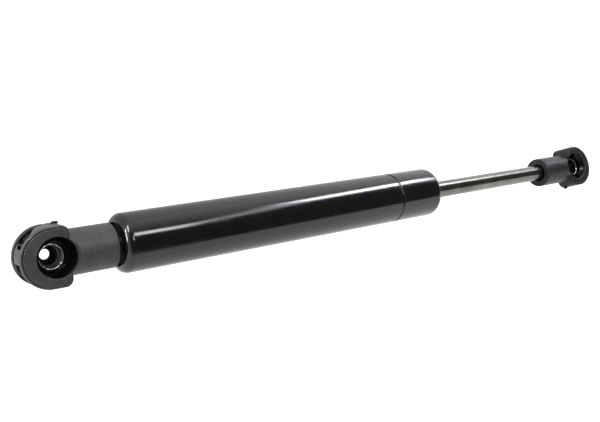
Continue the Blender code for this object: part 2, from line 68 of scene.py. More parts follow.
# Tube, its base plug and the rod
TUBE_WALL = 1.5 * MM
ROLL_RADIUS = 4.0 * MM
ROD_LIP = 1.2 * MM
BEAD_X = 199.6 * MM
BEAD_HALF_WIDTH = 0.9 * MM
BEAD_DEPTH = 0.6 * MM
LIP_EDGE = 0.3 * MM
PLUG_CORNER = 2.2 * MM            # radius that sits inside the rolled end
THREAD_RADIUS = 4.0 * MM
TENON_RADIUS = 3.5 * MM           # the rod's end that carries the piston
ROD_CHAMFER = 0.5 * MM
SHOULDER_CHAMFER = 0.2 * MM

# Ball socket moulding
HEAD_RADIUS = 13.5 * MM
HEAD_CENTRE_X = -1.0 * MM
HEAD_SHOULDER_X = 7.6 * MM
HEAD_FRONT_Y = -8.6 * MM
HEAD_BACK_Y = 4.7 * MM
HEAD_EDGE = 0.4 * MM
NECK_START_X = 2.0 * MM           # the neck starts this deep inside the head
NECK_EDGE = 0.5 * MM
FACE_INSET = 0.90 * MM            # the front face stands in a chamfer this wide
FACE_LINE = 0.55 * MM             # width of the fine line round the front face
FACE_LINE_DEPTH = 0.65 * MM
BOSS_RADIUS = 7.4 * MM
BOSS_Y = 5.9 * MM
BOSS_EDGE = 0.6 * MM
MOUTH_RADIUS = 9.1 * MM
MOUTH_OFFSET = 1.3 * MM           # the mouth stands this far from the ball, to the neck
MOUTH_LIP = 0.8 * MM              # depth of the rounded lip of the mouth
RIM_RADIUS = 9.8 * MM
THROAT_Y = -3.9 * MM
CUP_BORE = 5.15 * MM
CUP_WALL = 0.6 * MM
CUP_SEAT = CUP_BORE + CUP_WALL + GAP
CUP_LIP_Y = -3.7 * MM
CUP_HOLE_RADIUS = 2.3 * MM
BACK_HOLE_RADIUS = 2.55 * MM
THREAD_BORE = 4.3 * MM
BORE_END_X = 12.0 * MM
# Radius of the head's shoulders, neck radius, length from the ball, counterbore radius and depth
TUBE_END_SIZES = (3.5 * MM, 10.4 * MM, 28.9 * MM, None)
ROD_END_SIZES = (5.5 * MM, 9.4 * MM, 33.8 * MM, (5.6 * MM, 5.0 * MM))

# Wire clip, and the room it has in the moulding
WIRE_RADIUS = 0.6 * MM
WIRE_ROOM = 0.9 * MM
WIRE_BEND = 0.6 * MM              # the clip's tight corners
CLIP_TRAVEL = 2.0 * MM
LEG_Y = -2.2 * MM
LEG_Z = 5.2 * MM
BOW_Y = 1.4 * MM
BOW_RADIUS = 12.3 * MM
LEG_START_X = -8.9 * MM
LEG_END_X = 3.6 * MM
TAIL_X = 4.1 * MM
FOOT_START_X = 3.0 * MM
FOOT_END_X = 6.3 * MM
FOOT_Z = 13.75 * MM
FOOT_RADIUS = 0.7 * MM
WINDOW_INNER = 9.0 * MM
WINDOW_FRONT_Y = -6.1 * MM
WINDOW_BACK_Y = 1.95 * MM
LAND_BACK_Y = -0.3 * MM           # a land parts the start of the lower window from the groove
UPPER_WINDOW = (104.0, 156.5)     # degrees from the neck's direction
LOWER_LAND = (185.0, 203.0)
LOWER_WINDOW = (202.0, 238.0)

ROUND = 128                       # steps round a turned piece
WELD = 0.001 * MM
GRAIN_OF_MESH = 0.17 * MM         # cell size that the mouldings are smoothed at
KEPT_FACES = 0.30                 # share of the cells left once flat places are thinned out


# ---------------------------------------------------------------- tools

def deselect():
    bpy.ops.object.select_all(action="DESELECT")


def add_line(name, points):
    """A line drawn from corner to corner, as a new piece left in edit mode."""
    deselect()
    bpy.ops.mesh.primitive_plane_add(size=MM)
    piece = bpy.context.object
    piece.name = name
    bpy.ops.object.mode_set(mode="EDIT")
    bpy.ops.mesh.merge(type="CENTER")
    bpy.ops.transform.translate(value=points[0])
    for here, there in zip(points, points[1:]):
        bpy.ops.mesh.extrude_region_move(
            TRANSFORM_OT_translate={"value": Vector(there) - Vector(here)}
        )
    return piece


def weld():
    bpy.ops.mesh.select_all(action="SELECT")
    bpy.ops.mesh.remove_doubles(threshold=WELD)
    bpy.ops.mesh.normals_make_consistent(inside=False)
    bpy.ops.object.mode_set(mode="OBJECT")


def turn(name, profile, along="X", steps=ROUND):
    """A turned piece from (distance along the axis, radius) pairs, closed if they end apart."""
    if along == "X":
        points = [(far, 0.0, radius) for far, radius in profile]
        axis = (1.0, 0.0, 0.0)
    else:
        points = [(0.0, far, radius) for far, radius in profile]
        axis = (0.0, 1.0, 0.0)
    if profile[0][1] > 0.0:
        points.append(points[0])
    piece = add_line(name, points)
    bpy.ops.mesh.select_all(action="SELECT")
    bpy.ops.mesh.spin(steps=steps, angle=2 * math.pi, center=(0.0, 0.0, 0.0), axis=axis)
    weld()
    return piece


def plate(name, outline, y_low, y_high):
    """A flat plate across Y from its (x, z) outline."""
    points = [(x, y_low, z) for x, z in outline]
    piece = add_line(name, points)
    bpy.ops.mesh.select_all(action="SELECT")
    bpy.ops.mesh.edge_face_add()
    bpy.ops.mesh.extrude_region_move(
        TRANSFORM_OT_translate={"value": (0.0, y_high - y_low, 0.0)}
    )
    weld()
    return piece


def block(name, low, high):
    deselect()
    middle = (Vector(low) + Vector(high)) / 2
    bpy.ops.mesh.primitive_cube_add(size=1.0, location=middle, scale=Vector(high) - Vector(low))
    piece = bpy.context.object
    piece.name = name
    settle(piece)
    return piece


def settle(piece):
    """Leaves the piece's object at the origin, with its place in its mesh."""
    deselect()
    piece.select_set(True)
    bpy.context.view_layer.objects.active = piece
    bpy.ops.object.transform_apply(location=True, rotation=True, scale=True)


def modify(piece, kind, **settings):
    """Adds a modifier and applies it."""
    step = piece.modifiers.new(kind.title(), kind)
    for name, value in settings.items():
        setattr(step, name, value)
    deselect()
    piece.select_set(True)
    bpy.context.view_layer.objects.active = piece
    bpy.ops.object.modifier_apply(modifier=step.name)


def cut(piece, tool, operation="DIFFERENCE"):
    """Cuts the tool from the piece, or joins it on. The Manifold solver gives the same closed
    result each run, where Exact sometimes leaves the walls of the mouth's cone behind."""
    modify(piece, "BOOLEAN", operation=operation, solver="MANIFOLD", object=tool)
    bpy.data.objects.remove(tool, do_unlink=True)


def smooth(piece, angle=180.0):
    deselect()
    piece.select_set(True)
    bpy.context.view_layer.objects.active = piece
    bpy.ops.object.shade_smooth_by_angle(angle=math.radians(angle))


def stand(piece, place):
    """Moves a finished fitting piece to its place on the strut."""
    piece.matrix_world = place
    settle(piece)


def arc(centre, radius, start, end, steps):
    """Points of an arc: centre and points are (along, across) pairs, angles are in degrees."""
    angles = [math.radians(start + (end - start) * i / steps) for i in range(steps + 1)]
    return [(centre[0] + radius * math.cos(a), centre[1] + radius * math.sin(a)) for a in angles]


def eased(start, corner, end, steps):
    """Points of a curve that rounds a corner off."""
    points = []
    for i in range(steps + 1):
        t = i / steps
        weights = ((1 - t) ** 2, 2 * t * (1 - t), t * t)
        points.append(tuple(
            sum(w * p[axis] for w, p in zip(weights, (start, corner, end))) for axis in (0, 1)
        ))
    return points


def finish_piece(piece, body, slot, material, *replaced):
    piece.data.materials.clear()
    piece.data.materials.append(material)
    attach(piece, body)
    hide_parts(*replaced)


# ---------------------------------------------------------------- materials

def colour(hex_code):
    """An sRGB hex colour as linear red, green, blue and alpha."""
    parts = [int(hex_code[i:i + 2], 16) / 255 for i in (1, 3, 5)]
    linear = [p / 12.92 if p <= 0.04045 else ((p + 0.055) / 1.055) ** 2.4 for p in parts]
    return (*linear, 1.0)


def node(tree, kind, settings=None, **links):
    """Adds a node. Settings are attributes, socket values, or the stops of a colour ramp; links
    are socket=(node, output), with _0 and so on for a socket that goes by its number."""
    made = tree.nodes.new(kind)
    for name, value in (settings or {}).items():
        if name == "stops":
            set_stops(made.color_ramp.elements, value)
        elif isinstance(name, int) or name in made.inputs:
            made.inputs[name].default_value = value
        else:
            setattr(made, name, value)
    for name, (source, output) in links.items():
        socket = int(name[1:]) if name[1:].isdigit() else name.replace("_", " ")
        tree.links.new(source.outputs[output], made.inputs[socket])
    return made


def set_stops(elements, stops):
    """Fills a colour ramp with (position, hex colour) or (position, grey value) stops."""
    while len(elements) < len(stops):
        elements.new(0.5)
    for element, (position, value) in zip(elements, stops):
        element.position = position
        element.color = colour(value) if isinstance(value, str) else (value, value, value, 1.0)


def new_material(name):
    material = bpy.data.materials.new(name)
    material.use_nodes = True
    tree = material.node_tree
    tree.nodes.clear()
    return material, tree


def per_mm(spacing_mm):
    """Noise scale whose features are this many millimetres across."""
    return 1.0 / (spacing_mm * MM)


def gloss_black_paint():
    """Black polyester powder coat, sprayed on and stoved. It gives the eye a deep black with
    soft-edged reflections, a faint orange peel 1.6 mm across and slightly duller patches."""
    material, tree = new_material("black powder coat")
    place = node(tree, "ShaderNodeTexCoord")
    peel = node(
        tree, "ShaderNodeTexNoise", {"Scale": per_mm(1.6), "Detail": 2.0, "Roughness": 0.4},
        Vector=(place, "Object"),
    )
    dust = node(
        tree, "ShaderNodeTexNoise", {"Scale": per_mm(12.0), "Detail": 6.0, "Roughness": 0.65},
        Vector=(place, "Object"),
    )
    rough = node(
        tree, "ShaderNodeValToRGB", {"stops": [(0.30, 0.10), (0.70, 0.17)]},
        Fac=(dust, "Fac"),
    )
    tint = node(
        tree, "ShaderNodeValToRGB", {"stops": [(0.25, "#060607"), (0.75, "#0a0a0b")]},
        Fac=(dust, "Fac"),
    )
    bump = node(
        tree, "ShaderNodeBump", {"Strength": 0.10, "Distance": 0.02 * MM}, Height=(peel, "Fac")
    )
    shader = node(
        tree, "ShaderNodeBsdfPrincipled", {"IOR": 1.5, "Metallic": 0.0},
        Base_Color=(tint, "Color"), Roughness=(rough, "Color"), Normal=(bump, "Normal"),
    )
    node(tree, "ShaderNodeOutputMaterial", None, Surface=(shader, "BSDF"))
    return material


def fitting_axes(tree, place, place_on_strut):
    """Where the shaded point lies in a fitting's own axes, and how far it is across from the
    middles of the head and of the mouth."""
    from_ball = node(
        tree, "ShaderNodeVectorMath", {"operation": "SUBTRACT", 1: place_on_strut.to_translation()},
        Vector=(place, "Object"),
    )
    own_axes = node(
        tree, "ShaderNodeMapping",
        {"vector_type": "POINT", "Rotation": place_on_strut.inverted().to_euler()},
        Vector=(from_ball, "Vector"),
    )
    split = node(tree, "ShaderNodeSeparateXYZ", None, Vector=(own_axes, "Vector"))
    across = node(tree, "ShaderNodeCombineXYZ", None, X=(split, "X"), Z=(split, "Z"))
    from_head, from_mouth = (
        node(
            tree, "ShaderNodeVectorMath", {"operation": "DISTANCE", 1: (middle, 0.0, 0.0)},
            Vector=(across, "Vector"),
        )
        for middle in (HEAD_CENTRE_X, MOUTH_OFFSET)
    )
    return split, from_head, from_mouth


def moulded_nylon(name, place_on_strut, light, dark):
    """Glass-filled nylon from a spark-eroded mould. It gives the eye a dull charcoal with a fine
    matt grain and a front edge rubbed smooth. Its hollows, the mouth and the clip's windows, are
    smooth as if greased, and painted near-black with their shine lowered: painted shade. The real
    grain is about 0.1 mm and is drawn at 0.45 mm, so that it shows."""
    material, tree = new_material(name)
    place = node(tree, "ShaderNodeTexCoord")
    split, from_head, from_mouth = fitting_axes(tree, place, place_on_strut)
    deep = node(
        tree, "ShaderNodeMath", {"operation": "LESS_THAN", 1: HEAD_RADIUS - 1.0 * MM},
        _0=(from_head, "Value"),
    )
    clear_of_neck = node(
        tree, "ShaderNodeMath", {"operation": "LESS_THAN", 1: 4.0 * MM}, _0=(split, "X")
    )
    in_windows = node(
        tree, "ShaderNodeMath", {"operation": "MULTIPLY"}, _0=(deep, "Value"),
        _1=(clear_of_neck, "Value"),
    )
    in_cone = node(
        tree, "ShaderNodeMath", {"operation": "LESS_THAN", 1: MOUTH_RADIUS + 0.15 * MM},
        _0=(from_mouth, "Value"),
    )
    hollow = node(
        tree, "ShaderNodeMath", {"operation": "MAXIMUM"}, _0=(in_windows, "Value"),
        _1=(in_cone, "Value"),
    )
    behind_face = node(
        tree, "ShaderNodeMath", {"operation": "GREATER_THAN", 1: HEAD_FRONT_Y + 0.20 * MM},
        _0=(split, "Y"),
    )
    before_back = node(
        tree, "ShaderNodeMath", {"operation": "LESS_THAN", 1: HEAD_BACK_Y - 0.8 * MM},
        _0=(split, "Y"),
    )
    between = node(
        tree, "ShaderNodeMath", {"operation": "MULTIPLY"}, _0=(behind_face, "Value"),
        _1=(before_back, "Value"),
    )
    # Painted shade: inside the mouth and the windows, between the face and the back, the tone is
    # mixed to near-black and the shine lowered
    painted_shade_in_hollows = node(
        tree, "ShaderNodeMath", {"operation": "MULTIPLY"}, _0=(hollow, "Value"),
        _1=(between, "Value"),
    )
    grain = node(
        tree, "ShaderNodeTexNoise", {"Scale": per_mm(0.45), "Detail": 3.0, "Roughness": 0.6},
        Vector=(place, "Object"),
    )
    cloud = node(
        tree, "ShaderNodeTexNoise", {"Scale": per_mm(5.0), "Detail": 3.0}, Vector=(place, "Object")
    )
    matt = node(
        tree, "ShaderNodeValToRGB", {"stops": [(0.35, 0.33), (0.65, 0.50)]},
        Fac=(grain, "Fac"),
    )
    edge = node(
        tree, "ShaderNodeMath",
        {"operation": "COMPARE", 1: HEAD_RADIUS - FACE_INSET, 2: 0.5 * MM}, _0=(from_head, "Value"),
    )
    outer = node(
        tree, "ShaderNodeMath", {"operation": "MULTIPLY"}, _0=(edge, "Value"),
        _1=(clear_of_neck, "Value"),
    )
    foremost = node(
        tree, "ShaderNodeMath", {"operation": "LESS_THAN", 1: HEAD_FRONT_Y + 0.5 * MM},
        _0=(split, "Y"),
    )
    rubbed = node(
        tree, "ShaderNodeMath", {"operation": "MULTIPLY"}, _0=(outer, "Value"),
        _1=(foremost, "Value"),
    )
    smoother = node(
        tree, "ShaderNodeMath", {"operation": "MAXIMUM"}, _0=(painted_shade_in_hollows, "Value"),
        _1=(rubbed, "Value"),
    )
    rough = node(
        tree, "ShaderNodeMix", {"data_type": "FLOAT", 3: 0.16}, Factor=(smoother, "Value"),
        A=(matt, "Color"),
    )
    tint = node(
        tree, "ShaderNodeValToRGB", {"stops": [(0.30, dark), (0.70, light)]},
        Fac=(cloud, "Fac"),
    )
    # Painted shade: the hollows' tone is mixed to near-black
    tint_with_painted_shade = node(
        tree, "ShaderNodeMix", {"data_type": "RGBA", 7: colour("#060606")},
        Factor=(painted_shade_in_hollows, "Value"), _6=(tint, "Color"),
    )
    # Specular level 0.24 on the nylon, lowered to 0.10 in the hollows as painted shade
    dull = node(
        tree, "ShaderNodeMix", {"data_type": "FLOAT", 2: 0.24, 3: 0.10}, Factor=(painted_shade_in_hollows, "Value")
    )
    shine = node(
        tree, "ShaderNodeMix", {"data_type": "FLOAT", 3: 0.60}, Factor=(rubbed, "Value"),
        A=(dull, "Result"),
    )
    flat = node(
        tree, "ShaderNodeMath", {"operation": "SUBTRACT", 0: 1.0}, _1=(painted_shade_in_hollows, "Value")
    )
    height = node(
        tree, "ShaderNodeMath", {"operation": "MULTIPLY"}, _0=(grain, "Fac"), _1=(flat, "Value")
    )
    bump = node(
        tree, "ShaderNodeBump", {"Strength": 0.8, "Distance": 0.08 * MM}, Height=(height, "Value")
    )
    shader = node(
        tree, "ShaderNodeBsdfPrincipled", {"IOR": 1.53},
        Base_Color=(tint_with_painted_shade, 2), Roughness=(rough, "Result"), Normal=(bump, "Normal"),
        Specular_IOR_Level=(shine, "Result"),
    )
    node(tree, "ShaderNodeOutputMaterial", None, Surface=(shader, "BSDF"))
    return material


def turned_metal(name, light, dark, smoothest, roughest, line_mm, bump_strength=0.25):
    """A metal turned, ground or drawn, with fine lines that run round the strut's axis and a
    slight change of shade. The lines are drawn 0.1 mm and more apart, which is coarser than the
    real ones, so that they show."""
    material, tree = new_material(name)
    place = node(tree, "ShaderNodeTexCoord")
    squeezed = node(
        tree, "ShaderNodeMapping", {"Scale": (1.0, 0.02, 0.02)}, Vector=(place, "Object")
    )
    lines = node(
        tree, "ShaderNodeTexNoise", {"Scale": per_mm(line_mm), "Detail": 4.0, "Roughness": 0.7},
        Vector=(squeezed, "Vector"),
    )
    cloud = node(
        tree, "ShaderNodeTexNoise", {"Scale": per_mm(9.0), "Detail": 3.0, "Roughness": 0.5},
        Vector=(place, "Object"),
    )
    rough = node(
        tree, "ShaderNodeValToRGB", {"stops": [(0.30, smoothest), (0.70, roughest)]},
        Fac=(lines, "Fac"),
    )
    tint = node(
        tree, "ShaderNodeValToRGB", {"stops": [(0.30, dark), (0.70, light)]},
        Fac=(cloud, "Fac"),
    )
    bump = node(
        tree, "ShaderNodeBump", {"Strength": bump_strength, "Distance": 0.01 * MM},
        Height=(lines, "Fac"),
    )
    shader = node(
        tree, "ShaderNodeBsdfPrincipled", {"Metallic": 1.0},
        Base_Color=(tint, "Color"), Roughness=(rough, "Color"), Normal=(bump, "Normal"),
    )
    node(tree, "ShaderNodeOutputMaterial", None, Surface=(shader, "BSDF"))
    return material


def plain_stuff(name, light, dark, smoothest, roughest, grain_mm, bump_strength=0.2, ior=1.5):
    """A moulded or sheet material with an even fine grain and a slight change of shade."""
    material, tree = new_material(name)
    place = node(tree, "ShaderNodeTexCoord")
    grain = node(
        tree, "ShaderNodeTexNoise", {"Scale": per_mm(grain_mm), "Detail": 3.0, "Roughness": 0.6},
        Vector=(place, "Object"),
    )
    cloud = node(
        tree, "ShaderNodeTexNoise", {"Scale": per_mm(4.0), "Detail": 3.0}, Vector=(place, "Object")
    )
    rough = node(
        tree, "ShaderNodeValToRGB", {"stops": [(0.30, smoothest), (0.70, roughest)]},
        Fac=(grain, "Fac"),
    )
    tint = node(
        tree, "ShaderNodeValToRGB", {"stops": [(0.30, dark), (0.70, light)]},
        Fac=(cloud, "Fac"),
    )
    bump = node(
        tree, "ShaderNodeBump", {"Strength": bump_strength, "Distance": 0.03 * MM},
        Height=(grain, "Fac"),
    )
    shader = node(
        tree, "ShaderNodeBsdfPrincipled", {"IOR": ior},
        Base_Color=(tint, "Color"), Roughness=(rough, "Color"), Normal=(bump, "Normal"),
    )
    node(tree, "ShaderNodeOutputMaterial", None, Surface=(shader, "BSDF"))
    return material


def pressed_steel(name, place_on_strut):
    """Sheet steel, pressed, phosphated and greased. It gives the eye a bowl that is nearly black,
    and a bright ring where the lip is rubbed bare."""
    material, tree = new_material(name)
    place = node(tree, "ShaderNodeTexCoord")
    split, _, _ = fitting_axes(tree, place, place_on_strut)
    lip = node(
        tree, "ShaderNodeMath", {"operation": "LESS_THAN", 1: CUP_LIP_Y + 0.28 * MM},
        _0=(split, "Y"),
    )
    wear = node(
        tree, "ShaderNodeTexNoise", {"Scale": per_mm(1.2), "Detail": 4.0, "Roughness": 0.6},
        Vector=(place, "Object"),
    )
    coat = node(
        tree, "ShaderNodeValToRGB", {"stops": [(0.30, "#2a2926"), (0.70, "#45423d")]},
        Fac=(wear, "Fac"),
    )
    bright = node(
        tree, "ShaderNodeValToRGB", {"stops": [(0.30, "#bcbab3"), (0.70, "#cfcdc6")]},
        Fac=(wear, "Fac"),
    )
    tint = node(
        tree, "ShaderNodeMix", {"data_type": "RGBA"}, Factor=(lip, "Value"), _6=(coat, "Color"),
        _7=(bright, "Color"),
    )
    rough = node(
        tree, "ShaderNodeValToRGB", {"stops": [(0.30, 0.24), (0.70, 0.32)]},
        Fac=(wear, "Fac"),
    )
    shader = node(
        tree, "ShaderNodeBsdfPrincipled", {"Metallic": 1.0},
        Base_Color=(tint, 2), Roughness=(rough, "Color"),
    )
    node(tree, "ShaderNodeOutputMaterial", None, Surface=(shader, "BSDF"))
    return material


PAINT = gloss_black_paint()
# Two copies of the same nylon: the rod end's is given a far darker tone than the tube end's, which
# is painted shade
TUBE_END_NYLON = moulded_nylon("tube end moulded nylon", TUBE_FITTING, "#3e3e3d", "#353535")
ROD_END_NYLON_PAINTED_DARKER = moulded_nylon("rod end moulded nylon painted darker", ROD_FITTING, "#1d1d1d", "#141414")
# Steel, ground, nitrided and polished: warm mid grey with a long soft highlight
NITRIDED = turned_metal("polished nitrided steel", "#787773", "#605f5a", 0.17, 0.24, 0.10, 0.12)
# Steel, turned and zinc plated: pale warm grey with a satin highlight
ZINC = turned_metal("turned zinc-plated steel", "#b9b8b2", "#a3a29b", 0.28, 0.42, 0.25)
# Tin bronze, turned: yellow-brown, with a soft highlight
BRONZE = turned_metal("turned bearing bronze", "#b98a55", "#a17444", 0.26, 0.40, 0.20)
# Aluminium, turned: cool pale grey, a little brighter than the zinc
ALUMINIUM = turned_metal("turned aluminium", "#c6c8ca", "#b2b4b6", 0.25, 0.38, 0.25)
# One for each end, as the rubbed lip is placed in the fitting's own axes
TUBE_END_CUP = pressed_steel("tube end pressed steel", TUBE_FITTING)
ROD_END_CUP = pressed_steel("rod end pressed steel", ROD_FITTING)
# Spring steel wire, drawn: dark grey with narrow bright streaks
SPRING_STEEL = turned_metal("drawn spring wire", "#4c4c4e", "#353537", 0.20, 0.34, 0.15)
# Nitrile rubber, moulded: dull near-black with no clear reflection
NITRILE = plain_stuff("moulded nitrile rubber", "#1a1a1a", "#121212", 0.50, 0.68, 0.20)
# Blackened steel for the plug behind the rolled end, made darker still and given a low IOR so that
# it gives back next to no light: part real black finish, part painted shade
SHADE_BLACK_STEEL = plain_stuff("blackened steel painted shade black", "#090909", "#050505", 0.60, 0.75, 0.30, 0.2, 1.2)
# Acetal, turned: creamy white with a soft waxy shine
ACETAL = plain_stuff("turned white acetal", "#e2dfd6", "#d6d3c9", 0.34, 0.46, 0.30, 0.1, 1.48)


# ---------------------------------------------------------------- tube and rod

def painted_tube():
    """Drawn steel tube with both ends rolled over and a rolled-in bead."""
    rod_roll = (TUBE_END - ROLL_RADIUS, TUBE_RADIUS - ROLL_RADIUS)
    base_roll = (TUBE_START + ROLL_RADIUS, TUBE_RADIUS - ROLL_RADIUS)
    inner_roll = ROLL_RADIUS - TUBE_WALL
    lip = TUBE_RADIUS - ROLL_RADIUS - ROD_LIP
    steps = 12
    bead = [math.pi * i / steps for i in range(steps + 1)]
    profile = [(TUBE_END - LIP_EDGE, lip), (TUBE_END, lip + LIP_EDGE)]
    profile += arc(rod_roll, ROLL_RADIUS, 0, 90, 16)
    profile += [
        (
            BEAD_X + BEAD_HALF_WIDTH * math.cos(turned),
            TUBE_RADIUS - BEAD_DEPTH * math.sin(turned) ** 2,
        )
        for turned in bead
    ]
    profile += arc(base_roll, ROLL_RADIUS, 90, 176, 16)
    profile += arc(base_roll, inner_roll, 176, 90, 12)
    wide = BEAD_HALF_WIDTH + TUBE_WALL / 3
    profile += [
        (
            BEAD_X - wide * math.cos(turned),
            TUBE_RADIUS - TUBE_WALL - BEAD_DEPTH * math.sin(turned) ** 2,
        )
        for turned in bead
    ]
    profile += arc(rod_roll, inner_roll, 90, 0, 12)
    profile += [(TUBE_END - TUBE_WALL, lip)]
    piece = turn("painted_tube", profile)
    smooth(piece, 40.0)
    finish_piece(piece, "tube", "black_paint", PAINT, "pressure_tube")


def base_plug():
    """The plug behind the tube's rolled end, with a groove for its seal and a hole for the stud."""
    low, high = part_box("base_plug")
    seal_low, seal_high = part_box("base_plug_seal")
    stud_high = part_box("tube_end_stud")[1]
    groove = seal_high.z - seal_high.x + seal_low.x - GAP
    corner = (low.x + PLUG_CORNER, high.z - PLUG_CORNER)
    bore = stud_high.z + GAP
    bore_end = stud_high.x + GAP
    profile = [(high.x, 0.0), (high.x, high.z)]
    profile += [(seal_high.x + GAP, high.z), (seal_high.x + GAP, groove)]
    profile += [(seal_low.x - GAP, groove), (seal_low.x - GAP, high.z)]
    profile += arc(corner, PLUG_CORNER, 90, 180, 12)
    profile += [(low.x, bore), (bore_end, bore), (bore_end, 0.0)]
    piece = turn("plug_blackened_and_shade_black", profile)
    smooth(piece, 40.0)
    finish_piece(piece, "tube", "black_paint", SHADE_BLACK_STEEL, "base_plug")


def steel_rod():
    """The rod, with a threaded end for the socket and a tenon for the piston."""
    low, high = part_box("piston_rod")
    _, _, neck_length, (_, counterbore_depth) = ROD_END_SIZES
    socket_end = ROD_BALL.x - neck_length + counterbore_depth - GAP
    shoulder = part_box("extension_stop_washer")[1].x + GAP
    profile = [
        (high.x, 0.0),
        (high.x, THREAD_RADIUS - ROD_CHAMFER), (high.x - ROD_CHAMFER, THREAD_RADIUS),
        (socket_end, THREAD_RADIUS), (socket_end, ROD_RADIUS - ROD_CHAMFER),
        (socket_end - ROD_CHAMFER, ROD_RADIUS), (shoulder + SHOULDER_CHAMFER, ROD_RADIUS),
        (shoulder, ROD_RADIUS - SHOULDER_CHAMFER), (shoulder, TENON_RADIUS),
        (low.x + ROD_CHAMFER, TENON_RADIUS), (low.x, TENON_RADIUS - ROD_CHAMFER), (low.x, 0.0),
    ]
    piece = turn("steel_rod", profile)
    smooth(piece, 40.0)
    finish_piece(piece, "rod", "nitrided_steel", NITRIDED, "piston_rod")


# ---------------------------------------------------------------- ball socket fittings

def head_outline(shoulder, inset):
    """The head's (x, z) outline seen from the front, or one this far inside it."""
    radius = HEAD_RADIUS - inset
    corner = shoulder - inset
    corner_x = HEAD_SHOULDER_X - shoulder
    corner_z = HEAD_RADIUS - shoulder
    outline = arc((HEAD_CENTRE_X, 0.0), radius, 90, 270, 61)
    outline += arc((corner_x, -corner_z), corner, 270, 360, 12)
    outline += arc((corner_x, corner_z), corner, 0, 90, 12)
    return outline


def head_block(name, shoulder):
    """The head's block: its front face inset in a chamfer, its edges bevelled, and the fine line
    cut round the face."""
    body = plate(name, head_outline(shoulder, 0.0), HEAD_FRONT_Y + FACE_INSET, HEAD_BACK_Y)
    bpy.ops.object.mode_set(mode="EDIT")
    bpy.ops.mesh.select_mode(type="FACE")
    bpy.ops.mesh.select_all(action="DESELECT")
    bpy.ops.object.mode_set(mode="OBJECT")
    for face in body.data.polygons:
        face.select = face.normal.y < -0.9
    bpy.ops.object.mode_set(mode="EDIT")
    bpy.ops.mesh.inset(thickness=FACE_INSET, depth=FACE_INSET)
    bpy.ops.mesh.select_mode(type="VERT")
    bpy.ops.object.mode_set(mode="OBJECT")
    modify(
        body, "BEVEL", width=HEAD_EDGE, segments=4, limit_method="ANGLE",
        angle_limit=math.radians(60),
    )
    half = FACE_LINE / 2
    low, high = HEAD_FRONT_Y - MM, HEAD_FRONT_Y + FACE_LINE_DEPTH
    ring = plate("line", head_outline(shoulder, FACE_INSET - half), low, high)
    inside = plate("inside", head_outline(shoulder, FACE_INSET + half), low - MM, high + MM)
    cut(ring, inside)
    cut(body, ring)
    return body


def neck(radius, length, counterbore):
    """The neck, bored for the thread, with its back sloped down to the head."""
    rounded = arc((length - NECK_EDGE, radius - NECK_EDGE), NECK_EDGE, 0, 90, 4)
    profile = [(BORE_END_X, 0.0), (BORE_END_X, THREAD_BORE)]
    if counterbore:
        wide, deep = counterbore
        profile += [(length - deep, THREAD_BORE), (length - deep, wide), (length, wide)]
    else:
        profile += [(length, THREAD_BORE)]
    profile += rounded + [(NECK_START_X, radius), (NECK_START_X, 0.0)]
    solid = turn("neck", profile)
    slope = block(
        "slope", (-40.0 * MM, 0.0, -20.0 * MM), (40.0 * MM, 20.0 * MM, 20.0 * MM)
    )
    slope.matrix_world = (
        Matrix.Translation((HEAD_SHOULDER_X - 2.6 * MM, HEAD_BACK_Y, 0.0))
        @ Matrix.Rotation(math.radians(45), 4, "Z")
    )
    settle(slope)
    cut(solid, slope)
    return solid


def sector(inner, outer, start, end, steps):
    """The (x, z) outline of a part of a ring round the head's centre."""
    centre = (HEAD_CENTRE_X, 0.0)
    return arc(centre, outer, start, end, steps) + arc(centre, inner, end, start, steps)


def slant(piece, point, towards):
    """Slices the piece off at a slanting plane, keeping the side it faces."""
    deselect()
    piece.select_set(True)
    bpy.context.view_layer.objects.active = piece
    bpy.ops.object.mode_set(mode="EDIT")
    bpy.ops.mesh.select_all(action="SELECT")
    bpy.ops.mesh.bisect(plane_co=point, plane_no=towards, use_fill=True, clear_inner=True)
    weld()


def clip_rooms():
    """What the wire clip needs cut away: its groove, the windows, two leg channels, and the
    slot, the notch and the pocket for its tail and foot."""
    outside = HEAD_RADIUS + 3.0 * MM
    step = 0.05 * MM
    yield plate(
        "groove", sector(BOW_RADIUS - WIRE_ROOM, outside, 89, 271, 50),
        BOW_Y - WIRE_ROOM, BOW_Y + WIRE_ROOM,
    )
    window = plate(
        "upper_window", sector(WINDOW_INNER, outside, *UPPER_WINDOW, 20),
        WINDOW_FRONT_Y, WINDOW_BACK_Y,
    )
    # Its front wall slants back into the head
    slant(window, (-4.95 * MM, -0.5 * MM, 12.9 * MM), (-5.0, 7.66, -3.31))
    yield window
    for span, back in ((LOWER_LAND, LAND_BACK_Y), (LOWER_WINDOW, WINDOW_BACK_Y)):
        yield plate("lower_window", sector(WINDOW_INNER, outside, *span, 20), WINDOW_FRONT_Y, back)
    for centre in (LEG_Z, -LEG_Z):
        yield block(
            "channel",
            (LEG_START_X - 1.0 * MM, LEG_Y - WIRE_ROOM, centre - WIRE_ROOM),
            (TAIL_X + WIRE_ROOM, LEG_Y + WIRE_ROOM, centre + WIRE_ROOM),
        )
    low_x = TAIL_X - CLIP_TRAVEL - WIRE_ROOM
    high_x = TAIL_X + WIRE_ROOM
    yield block(
        "tail_slot",
        (low_x, BOW_Y - WIRE_ROOM, LEG_Z + 2.0 * MM),
        (high_x + step, BOW_Y + WIRE_ROOM, HEAD_RADIUS + 2.0 * MM),
    )
    yield block(
        "foot_notch",
        (FOOT_START_X - CLIP_TRAVEL - GAP, BOW_Y - 1.0 * MM, FOOT_Z - 0.85 * MM),
        (FOOT_END_X + 0.6 * MM, BOW_Y + 1.0 * MM, HEAD_RADIUS + 2.0 * MM),
    )
    yield block(
        "tail_pocket",
        (low_x - step, LEG_Y - WIRE_ROOM - step, LEG_Z - WIRE_ROOM - step),
        (high_x + 2 * step, BOW_Y + WIRE_ROOM - step, LEG_Z + 5.0 * MM),
    )


